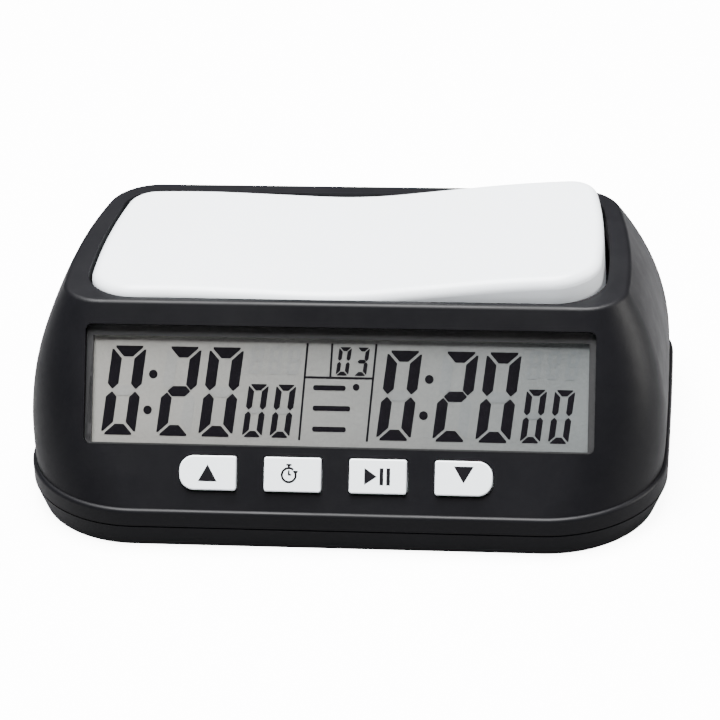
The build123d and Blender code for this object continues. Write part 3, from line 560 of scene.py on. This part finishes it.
class CLOCK_OT_finishes(bpy.types.Operator):
    """Give every part of the clock its finish"""

    bl_idname = "clock.finishes"
    bl_label = "Finishes"

    def execute(self, context):
        settings = context.scene.clock
        plastic, plated, smudged, ground = moulded_group(), metal_group(), smudge_group(), across_group()
        disc_ceramic = (0.62, 0.62, 0.57)
        casing, rocker, ink = settings.casing_colour, settings.rocker_colour, settings.ink_colour
        made = {
            "casing_black": moulded("casing_black", plastic, casing, 0.18, 0.44, 0.05, 0.02, 0.15),
            "rocker_white": moulded("rocker_white", plastic, rocker, 0.012, 0.34, 0.05, 0.006),
            "key_white": moulded("key_white", plastic, settings.key_colour, 0.012, 0.42, 0.05, 0.006),
            "stop_rubber": moulded("stop_rubber", plastic, (0.03, 0.03, 0.03), 0.2, 0.8, 0.08, 0.02),
            "foot_rubber": moulded("foot_rubber", plastic, (0.03, 0.03, 0.032), 0.2, 0.78, 0.08, 0.03),
            "tape_black": moulded("tape_black", plastic, (0.008, 0.008, 0.009), 0.2, 0.7, 0.05, 0.01),
            "strip_rubber": moulded("strip_rubber", plastic, (0.50, 0.16, 0.20), 0.1, 0.6, 0.05, 0.01),
            "holder_white": moulded("holder_white", plastic, (0.60, 0.60, 0.58), 0.04, 0.45, 0.05, 0.01),
            "board_green": moulded("board_green", plastic, (0.02, 0.13, 0.05), 0.15, 0.3, 0.08, 0.008),
            "epoxy_black": moulded("epoxy_black", plastic, (0.008, 0.008, 0.008), 0.2, 0.18, 0.08, 0.02),
            "ceramic_tan": moulded("ceramic_tan", plastic, (0.42, 0.29, 0.17), 0.1, 0.5, 0.05, 0.01),
            "switch_black": moulded("switch_black", plastic, (0.012, 0.012, 0.013), 0.2, 0.42, 0.06, 0.01),
            "sounder_ceramic": moulded("sounder_ceramic", plastic, disc_ceramic, 0.06, 0.35, 0.08, 0.01),
            "cell_jacket": moulded("cell_jacket", plastic, (0.05, 0.10, 0.22), 0.06, 0.28, 0.05, 0.003),
            "lead_red": moulded("lead_red", plastic, (0.42, 0.012, 0.012), 0.08, 0.38, 0.05, 0.006),
            "lead_black": moulded("lead_black", plastic, (0.010, 0.010, 0.010), 0.2, 0.38, 0.05, 0.006),
            "lead_grey": moulded("lead_grey", plastic, (0.25, 0.25, 0.26), 0.08, 0.38, 0.05, 0.006),
            "display_ink": moulded("display_ink", plastic, ink, 0.15, 0.55, 0.05, 0.002, 0.05),
            "key_ink": moulded("key_ink", plastic, ink, 0.2, 0.5, 0.06, 0.004, 0.12),
            "bright_metal": metal("bright_metal", plated, (0.66, 0.65, 0.62), (0.45, 0.42, 0.36), 0.26),
            "screw_steel": metal("screw_steel", plated, (0.46, 0.46, 0.47), (0.28, 0.26, 0.23), 0.34),
            "switch_metal": metal("switch_metal", plated, (0.58, 0.58, 0.57), (0.40, 0.38, 0.34), 0.32),
            "sounder_brass": metal("sounder_brass", plated, (0.68, 0.48, 0.19), (0.38, 0.25, 0.11), 0.3),
            "window_clear": clear("window_clear", smudged, (0.0, 0.0, 0.0), 0.01, 0.03),
            "lcd_glass": clear("lcd_glass", smudged, (0.0, 0.0, 0.0), 0.01, 0.02),
        }
        # Both the ground and the unlit bars take the painted shade that runs from the lighter left end to the
        # darker right end.
        for name, tint in (("lcd_reflector", (1, 1, 1)), ("display_ghost", settings.ghost_tint)):
            left = tuple(shade * part for shade, part in zip(settings.display_lit_left, tint))
            right = tuple(shade * part for shade, part in zip(settings.display_shaded_right, tint))
            mat, _, shader, _ = new_material(name, ground, {"Left": left, "Right": right})
            shader.inputs["Specular IOR Level"].default_value = 0.2
            made[name] = mat
        for part in frame["record"]["subparts"]:
            node = frame["nodes"][part["node"]]
            node.data.materials.clear()
            slot = "lcd_reflector" if part["node"] == "lcd_rear_glass" else part["material_slot"]
            node.data.materials.append(made[slot])
        return {"FINISHED"}


def finish_piece(obj, body, material):
    """Tie a new piece to its body and give it its material."""
    obj.data.materials.clear()
    obj.data.materials.append(bpy.data.materials[material])
    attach(obj, body)


# ---------------------------------------------------------------- display

class CLOCK_OT_figures(bpy.types.Operator):
    """Show both players' times and the mode number, with the faint unlit bars"""

    bl_idname = "clock.figures"
    bl_label = "Display figures"

    def execute(self, context):
        settings = context.scene.clock
        big = Figure(settings.big_height / MM, 7.95, 2.4, 2.5, 0.62)
        small = Figure(settings.small_height / MM, 4.6, 1.46, 1.4, 0.4)
        middle = Figure(settings.middle_height / MM, 2.9, 0.8, 0.9, 0.24)
        low_s, small_s, middle_s = 16.85, 16.95, 31.5
        for side, start in (("left", -55.2), ("right", 8.75)):
            for label, bars, offset in (("hours", ZERO, 0.0), ("tens", TWO, 12.9), ("units", ZERO, 22.75)):
                figure = big.show(f"figure_{side}_{label}", bars, start + offset, low_s)
                finish_piece(figure, "casing", "display_ink")
                unlit = [letter for letter in ALL_BARS if letter not in bars]
                ghost = big.show(f"unlit_{side}_{label}", unlit, start + offset, low_s)
                finish_piece(ghost, "casing", "display_ghost")
            for label, offset in (("seconds_tens", 32.95), ("seconds_units", 39.35)):
                figure = small.show(f"figure_{side}_{label}", ZERO, start + offset, small_s)
                finish_piece(figure, "casing", "display_ink")
                ghost = small.show(f"unlit_{side}_{label}", "g", start + offset, small_s)
                finish_piece(ghost, "casing", "display_ghost")
            for number, offset in enumerate((34.2, 38.5, 42.8)):
                ghost = middle.show(f"unlit_{side}_count_{number + 1}", ALL_BARS, start + offset, middle_s)
                finish_piece(ghost, "casing", "display_ghost")
            for number, (offset, s) in enumerate(((12.0, 31.0), (10.85, 22.7))):
                dot = disc(f"colon_{side}_{number + 1}", 0, 0, 1.0, FLAT)
                place_on_panel(dot, start + offset, s, -INK_DEPTH)
                finish_piece(dot, "casing", "display_ink")
        for label, bars, x in (("mode_tens", ZERO, -0.84), ("mode_units", THREE, 3.3)):
            figure = middle.show(f"figure_{label}", bars, x, middle_s)
            finish_piece(figure, "casing", "display_ink")
        for size in (big, small, middle):
            size.clear()
        return {"FINISHED"}


class CLOCK_OT_rules(bpy.types.Operator):
    """Draw the display's thin rules, its dot and the plain bars that stand for the three modes"""

    bl_idname = "clock.rules"
    bl_label = "Display rules"

    def execute(self, context):
        width = context.scene.clock.rule_width / MM
        rules = (
            ("rule_left", (-8.94, 16.45), (-7.42, 38.8)),
            ("rule_corner", (-2.03, 31.1), (-1.73, 38.8)),
            ("rule_right", (6.7, 16.45), (8.46, 38.85)),
            ("rule_across", (-7.95, 30.94), (7.9, 30.94)),
        )
        for name, first, second in rules:
            run = Vector(second) - Vector(first)
            rule = plate(name, 0, 0, run.length, width, FLAT, width / 3, 2)
            rule.rotation_euler.z = atan2(run.y, run.x)
            rule.location = (Vector((*first, 0)) + Vector((*second, 0))) / 2 * MM
            select_only(rule)
            settle()
            place_on_panel(rule, 0, 0, -INK_DEPTH)
            finish_piece(rule, "casing", "display_ink")
        dot = disc("mode_dot", 0, 0, 0.78, FLAT)
        place_on_panel(dot, 3.98, 28.87, -INK_DEPTH)
        finish_piece(dot, "casing", "display_ink")
        for number, (s, length) in enumerate(((28.6, 7.5), (23.9, 8.65), (19.1, 7.75))):
            bar = plate(f"mode_bar_{number + 1}", length / 2, 0, length, 1.15, FLAT, 0.45, 4)
            place_on_panel(bar, -5.95, s, -INK_DEPTH)
            finish_piece(bar, "casing", "display_ink")
        return {"FINISHED"}


# ---------------------------------------------------------------- key symbols

PRINT = 0.05


def open_ring(name, x, y, outer, stroke, gap_from, gap_to):
    """A flat ring with a gap between two angles, measured in degrees from the right."""
    bpy.ops.object.select_all(action="DESELECT")
    bpy.ops.mesh.primitive_circle_add(vertices=72, radius=outer * MM, fill_type="NGON", location=(0, 0, 0))
    obj = bpy.context.active_object
    obj.name = name
    bpy.ops.object.mode_set(mode="EDIT")
    bpy.ops.mesh.select_mode(type="FACE")
    bpy.ops.mesh.select_all(action="SELECT")
    bpy.ops.mesh.inset(thickness=stroke * MM)
    mesh = bmesh.from_edit_mesh(obj.data)
    for face in mesh.faces:
        middle = face.calc_center_median()
        angle = atan2(middle.y, middle.x)
        inside = middle.length < outer / 2 * MM
        face.select_set(inside or radians(gap_from) < angle < radians(gap_to))
    bmesh.update_edit_mesh(obj.data)
    bpy.ops.mesh.delete(type="FACE")
    bpy.ops.mesh.select_all(action="SELECT")
    bpy.ops.mesh.extrude_region_move(TRANSFORM_OT_translate={"value": (0, 0, PRINT * MM)})
    bpy.ops.mesh.select_all(action="SELECT")
    bpy.ops.mesh.normals_make_consistent(inside=False)
    bpy.ops.object.mode_set(mode="OBJECT")
    obj.location = Vector((x, y, -PRINT / 2)) * MM
    select_only(obj)
    settle()
    return obj


class CLOCK_OT_key_symbols(bpy.types.Operator):
    """Print the arrow, clock and start-stop symbols on the four keys"""

    bl_idname = "clock.key_symbols"
    bl_label = "Key symbols"

    def execute(self, context):
        up = triangle("symbol_up", 0, 0, 4.4, 3.9, PRINT, 0)
        down = triangle("symbol_down", 0, 0.8, 4.5, 3.85, PRINT, pi)
        hand = plate("hand", -0.8, 0.42, 0.42, 1.15, PRINT, 0.1)
        second = plate("second_hand", -0.62, -0.02, 0.75, 0.4, PRINT, 0.1)
        clock = joined(
            [
                open_ring("ring", -0.8, -0.1, 1.85, 0.5, 8, 48),
                hand,
                second,
                plate("stem", -0.8, 1.95, 0.55, 0.55, PRINT, 0.1),
                plate("crown", -0.8, 2.25, 1.25, 0.4, PRINT, 0.12),
                triangle("arrow", 0.72, 0.38, 1.35, 1.05, PRINT, pi),
            ],
            "symbol_clock",
        )
        play = joined(
            [
                triangle("start", -1.62, 0, 3.9, 2.87, PRINT, -pi / 2),
                plate("stop_1", 0.87, 0, 0.86, 3.9, PRINT, 0.08),
                plate("stop_2", 2.42, 0, 0.86, 3.9, PRINT, 0.08),
            ],
            "symbol_play",
        )
        for index, (symbol, body) in enumerate(
            ((up, "key_up"), (clock, "key_clock"), (play, "key_play"), (down, "key_down"))
        ):
            place_on_panel(symbol, (index - 1.5) * KEY_PITCH, KEY_MIDDLE, KEY_FACE)
            finish_piece(symbol, body, "key_ink")
        return {"FINISHED"}


# ---------------------------------------------------------------- studio

def area_light(name, place, target, width, height, power, colour=(1, 1, 1)):
    """A soft rectangular light aimed at the target."""
    bpy.ops.object.light_add(type="AREA", location=place)
    lamp = bpy.context.active_object
    lamp.name = name
    lamp.data.shape = "RECTANGLE"
    lamp.data.size, lamp.data.size_y = width, height
    lamp.data.energy = power
    lamp.data.color = colour
    lamp.rotation_euler = (Vector(target) - Vector(place)).to_track_quat("-Z", "Y").to_euler()
    return lamp


class CLOCK_OT_stage(bpy.types.Operator):
    """Lay the floor, hang the lights and set up the camera"""

    bl_idname = "clock.stage"
    bl_label = "Studio"

    def execute(self, context):
        settings = context.scene.clock
        bpy.ops.object.select_all(action="DESELECT")
        bpy.ops.mesh.primitive_plane_add(size=8)
        floor = context.active_object
        floor.name = "studio_floor"
        mat = bpy.data.materials.new("studio_paper")
        mat.use_nodes = True
        tree = mat.node_tree
        shader = tree.nodes["Principled BSDF"]
        shader.inputs["Roughness"].default_value = 0.9
        shader.inputs["Specular IOR Level"].default_value = 0.1
        fibre = noise(tree, 60.0, 4.0)
        tone = ramp(tree, fibre.outputs["Fac"], 0.3, 0.7, 0.985, 1.0)
        path = tree.nodes.new("ShaderNodeLightPath")
        seen = mix(tree, "MIX", path.outputs["Is Camera Ray"], (0.2, 0.2, 0.205, 1), (0.93, 0.93, 0.93, 1))
        scaled = tree.nodes.new("ShaderNodeVectorMath")
        scaled.operation = "SCALE"
        tree.links.new(seen, scaled.inputs[0])
        tree.links.new(tone.outputs["Result"], scaled.inputs["Scale"])
        tree.links.new(scaled.outputs["Vector"], shader.inputs["Base Color"])
        shader.inputs["Emission Color"].default_value = (1, 1, 1, 1)
        glow = maths(tree, "MULTIPLY", path.outputs["Is Camera Ray"], 9.0)
        tree.links.new(glow, shader.inputs["Emission Strength"])
        floor.data.materials.append(mat)

        middle = (0, 0, 0.03)
        lamps = (
            area_light("softbox_above", (-0.1, 0.02, 1.25), middle, 1.0, 0.8, settings.soft_light),
            area_light("softbox_front", (-0.3, -1.5, 0.42), middle, 1.2, 0.35, 2.0),
            area_light("softbox_right", (1.3, 0.25, 0.45), middle, 0.5, 0.8, 17.0, (1.0, 0.98, 0.94)),
        )

        turn, height, roll = radians(7.706), radians(30.034), radians(-2.792)
        back = Vector((sin(turn) * cos(height), -cos(turn) * cos(height), sin(height)))
        side = Vector((cos(turn), sin(turn), 0))
        up = back.cross(side)
        across = side * cos(roll) + up * sin(roll)
        upward = up * cos(roll) - side * sin(roll)
        target = Vector((4.33, -23.5, 36.55)) * MM
        bpy.ops.object.camera_add()
        camera = context.active_object
        camera.name = "studio_camera"
        place = Matrix((across, upward, back)).transposed().to_4x4()
        place.translation = target + back * settings.camera_distance
        camera.matrix_world = place
        camera.data.lens = 159.5
        camera.data.sensor_width = 36
        camera.data.clip_start = 0.05
        camera.data.clip_end = 20
        context.scene.camera = camera

        world = bpy.data.worlds.new("studio_world")
        context.scene.world = world
        world.use_nodes = True
        world.node_tree.nodes["Background"].inputs["Color"].default_value = (1, 1, 1, 1)
        world.node_tree.nodes["Background"].inputs["Strength"].default_value = 0.1
        return {"FINISHED"}


class CLOCK_PT_panel(bpy.types.Panel):
    """The steps that make the clock, and what can be changed"""

    bl_idname = "CLOCK_PT_panel"
    bl_label = "Chess clock"
    bl_space_type = "VIEW_3D"
    bl_region_type = "UI"
    bl_category = "Chess clock"

    def draw(self, context):
        for step in STEPS:
            self.layout.operator(step.bl_idname)
        for name in ClockSettings.__annotations__:
            self.layout.prop(context.scene.clock, name)


STEPS = (CLOCK_OT_finishes, CLOCK_OT_figures, CLOCK_OT_rules, CLOCK_OT_key_symbols, CLOCK_OT_stage)
CLASSES = (ClockSettings, *STEPS, CLOCK_PT_panel)


def register():
    for cls in CLASSES:
        bpy.utils.register_class(cls)
    bpy.types.Scene.clock = bpy.props.PointerProperty(type=ClockSettings)


def unregister():
    del bpy.types.Scene.clock
    for cls in reversed(CLASSES):
        bpy.utils.unregister_class(cls)


def main():
    register()
    bpy.ops.clock.finishes()
    bpy.ops.clock.figures()
    bpy.ops.clock.rules()
    bpy.ops.clock.key_symbols()
    bpy.ops.clock.stage()


if __name__ == "__main__":
    main()
